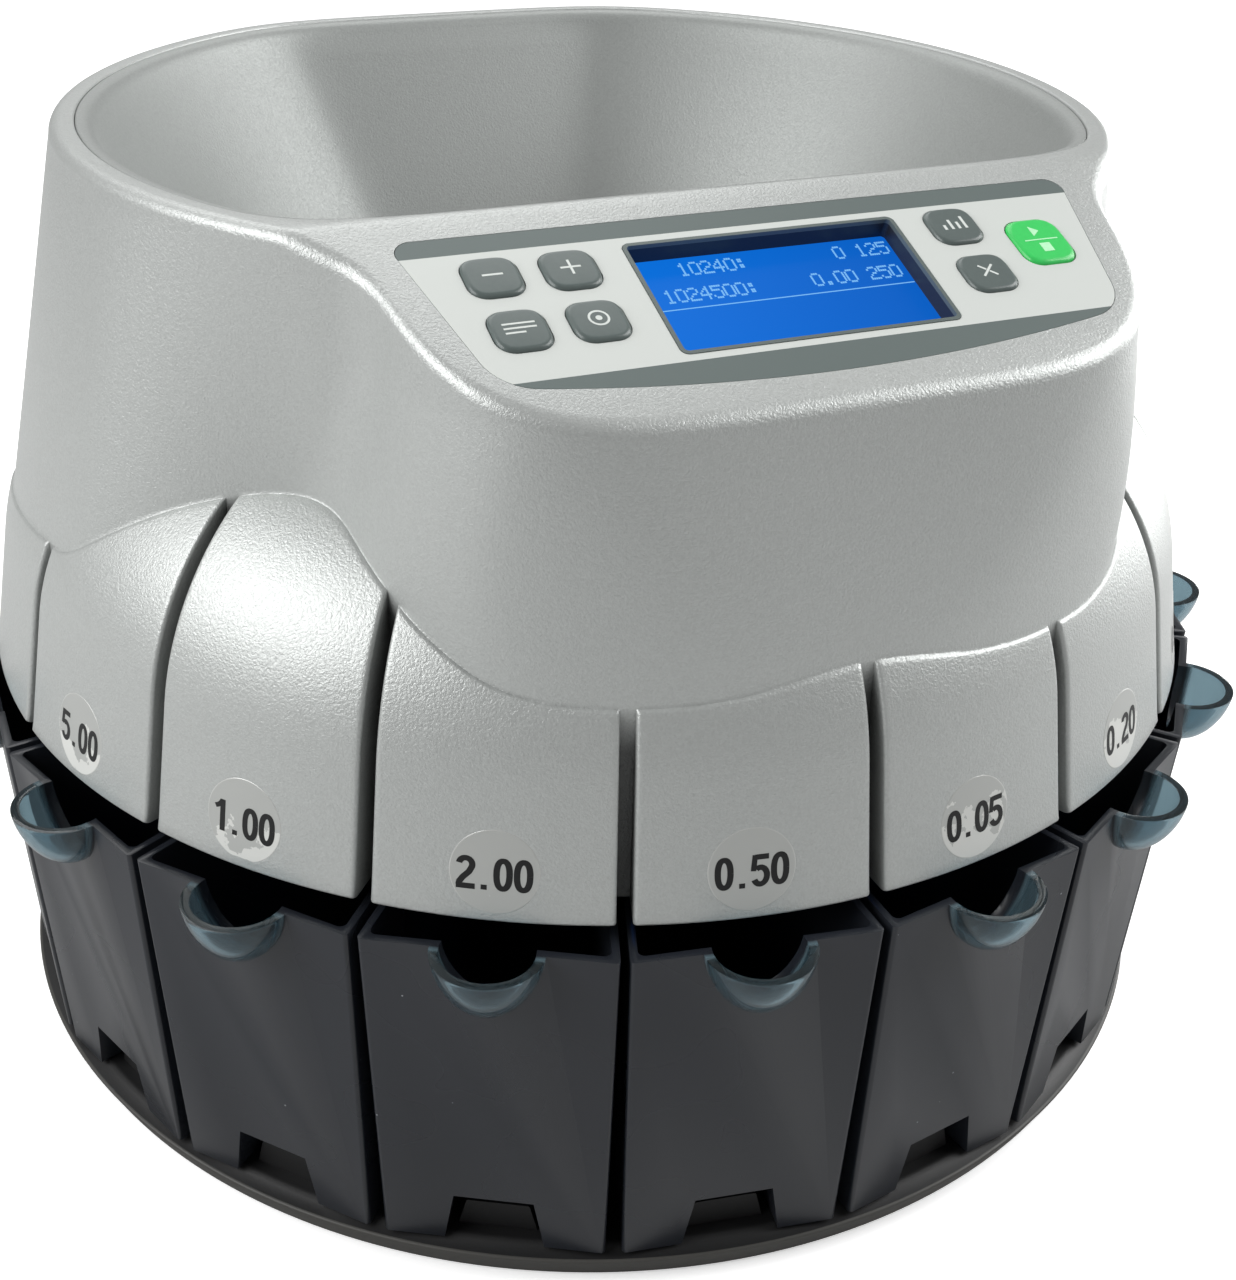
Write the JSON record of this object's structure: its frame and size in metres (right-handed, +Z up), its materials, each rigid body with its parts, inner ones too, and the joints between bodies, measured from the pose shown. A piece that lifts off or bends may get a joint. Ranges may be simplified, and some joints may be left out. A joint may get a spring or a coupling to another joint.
{
  "type": "coin sorting machine",
  "caption": "Desktop coin sorter with an open hopper, a sloping control panel, a skirt of petals and smoked coin cups that slide out",
  "frame": {"origin": "centre of the footprint, on the table", "axes": "+Z up, -Y towards the user (front, control panel), +X to the user's right"},
  "size_m": [0.3498, 0.333, 0.232],
  "materials": {
    "silver_abs": "textured",
    "smoked_abs": "smooth",
    "charcoal_abs": "textured",
    "grey_key": "smooth",
    "green_key": "smooth",
    "white_film": "smooth",
    "display_glass": "clear",
    "black_abs": "textured",
    "black_rubber": "matte",
    "grey_rubber": "matte",
    "circuit_board": "smooth",
    "steel": "brushed"
  },
  "bodies": {
    "housing": {"base_tray": "charcoal_abs", "rubber_feet": "black_rubber", "core_drum": "charcoal_abs", "back_cover": "silver_abs", "sorting_deck": "charcoal_abs", "coin_rail": "steel", "sensor_strip": "circuit_board", "top_cover": "silver_abs", "hopper": "silver_abs", "lcd_bezel": "black_abs", "lcd_module": "display_glass", "control_overlay": "white_film", "key_board_left": "circuit_board", "key_board_right": "circuit_board", "bearings": "steel", "drive_belt": "black_rubber", "drive_motor": "steel", "motor_bracket": "steel", "bracket_posts": "steel", "main_board": "circuit_board", "power_supply": "steel", "mains_inlet": "black_abs", "switch_housing": "black_abs", "printer_port": "black_abs"},
    "cup_01": {"cup_01": "smoked_abs"},
    "cup_02": {"cup_02": "smoked_abs"},
    "cup_03": {"cup_03": "smoked_abs"},
    "cup_04": {"cup_04": "smoked_abs"},
    "cup_05": {"cup_05": "smoked_abs"},
    "cup_06": {"cup_06": "smoked_abs"},
    "cup_07": {"cup_07": "smoked_abs"},
    "cup_08": {"cup_08": "smoked_abs"},
    "cup_09": {"cup_09": "smoked_abs"},
    "cup_10": {"cup_10": "smoked_abs"},
    "key_minus": {"key_minus": "grey_key"},
    "key_plus": {"key_plus": "grey_key"},
    "key_preset": {"key_preset": "grey_key"},
    "key_set": {"key_set": "grey_key"},
    "key_report": {"key_report": "grey_key"},
    "key_clear": {"key_clear": "grey_key"},
    "key_start": {"key_start": "green_key"},
    "rotor": {"coin_disc": "steel", "disc_cap": "black_abs", "sweeper_wheel": "grey_rubber", "drive_shaft": "steel", "driven_pulley": "black_abs"},
    "motor_rotor": {"motor_pulley": "steel", "motor_shaft": "steel"},
    "power_switch": {"power_switch": "black_abs"}
  },
  "joints": [
    {"name": "cup_01_slide", "type": "slide", "parent": "housing", "child": "cup_01", "axis": [-1, 0, 0], "range_m": [0, 0.07]},
    {"name": "cup_02_slide", "type": "slide", "parent": "housing", "child": "cup_02", "axis": [-0.9397, -0.342, 0], "range_m": [0, 0.07]},
    {"name": "cup_03_slide", "type": "slide", "parent": "housing", "child": "cup_03", "axis": [-0.766, -0.6428, 0], "range_m": [0, 0.07]},
    {"name": "cup_04_slide", "type": "slide", "parent": "housing", "child": "cup_04", "axis": [-0.5, -0.866, 0], "range_m": [0, 0.07]},
    {"name": "cup_05_slide", "type": "slide", "parent": "housing", "child": "cup_05", "axis": [-0.1736, -0.9848, 0], "range_m": [0, 0.07]},
    {"name": "cup_06_slide", "type": "slide", "parent": "housing", "child": "cup_06", "axis": [0.1736, -0.9848, 0], "range_m": [0, 0.07]},
    {"name": "cup_07_slide", "type": "slide", "parent": "housing", "child": "cup_07", "axis": [0.5, -0.866, 0], "range_m": [0, 0.07]},
    {"name": "cup_08_slide", "type": "slide", "parent": "housing", "child": "cup_08", "axis": [0.766, -0.6428, 0], "range_m": [0, 0.07]},
    {"name": "cup_09_slide", "type": "slide", "parent": "housing", "child": "cup_09", "axis": [0.9397, -0.342, 0], "range_m": [0, 0.07]},
    {"name": "cup_10_slide", "type": "slide", "parent": "housing", "child": "cup_10", "axis": [1, 0, 0], "range_m": [0, 0.07]},
    {"name": "key_minus_press", "type": "slide", "parent": "housing", "child": "key_minus", "axis": [0, 0.3633, -0.9317], "range_m": [0, 0.0006], "stiffness_N_per_m": 300, "springref_m": -0.0005},
    {"name": "key_plus_press", "type": "slide", "parent": "housing", "child": "key_plus", "axis": [0, 0.3633, -0.9317], "range_m": [0, 0.0006], "stiffness_N_per_m": 300, "springref_m": -0.0005},
    {"name": "key_preset_press", "type": "slide", "parent": "housing", "child": "key_preset", "axis": [0, 0.3633, -0.9317], "range_m": [0, 0.0006], "stiffness_N_per_m": 300, "springref_m": -0.0005},
    {"name": "key_set_press", "type": "slide", "parent": "housing", "child": "key_set", "axis": [0, 0.3633, -0.9317], "range_m": [0, 0.0006], "stiffness_N_per_m": 300, "springref_m": -0.0005},
    {"name": "key_report_press", "type": "slide", "parent": "housing", "child": "key_report", "axis": [0, 0.3633, -0.9317], "range_m": [0, 0.0006], "stiffness_N_per_m": 300, "springref_m": -0.0005},
    {"name": "key_clear_press", "type": "slide", "parent": "housing", "child": "key_clear", "axis": [0, 0.3633, -0.9317], "range_m": [0, 0.0006], "stiffness_N_per_m": 300, "springref_m": -0.0005},
    {"name": "key_start_press", "type": "slide", "parent": "housing", "child": "key_start", "axis": [0, 0.3633, -0.9317], "range_m": [0, 0.0006], "stiffness_N_per_m": 300, "springref_m": -0.0005},
    {"name": "disc_spin", "type": "hinge", "parent": "housing", "child": "rotor", "pos_m": [0, 0.00591, 0.1], "axis": [0, 0, 1], "continuous": true},
    {"name": "motor_spin", "type": "hinge", "parent": "housing", "child": "motor_rotor", "pos_m": [0, 0.05791, 0.07], "axis": [0, 0, 1], "continuous": true},
    {"name": "power_switch_rock", "type": "hinge", "parent": "housing", "child": "power_switch", "pos_m": [0.002, 0.14363, 0.042], "axis": [1, 0, 0], "range_deg": [-18, 0]}
  ],
  "couplings": [
    {"joint": "motor_spin", "follows": "disc_spin", "ratio": 3.7778}
  ]
}
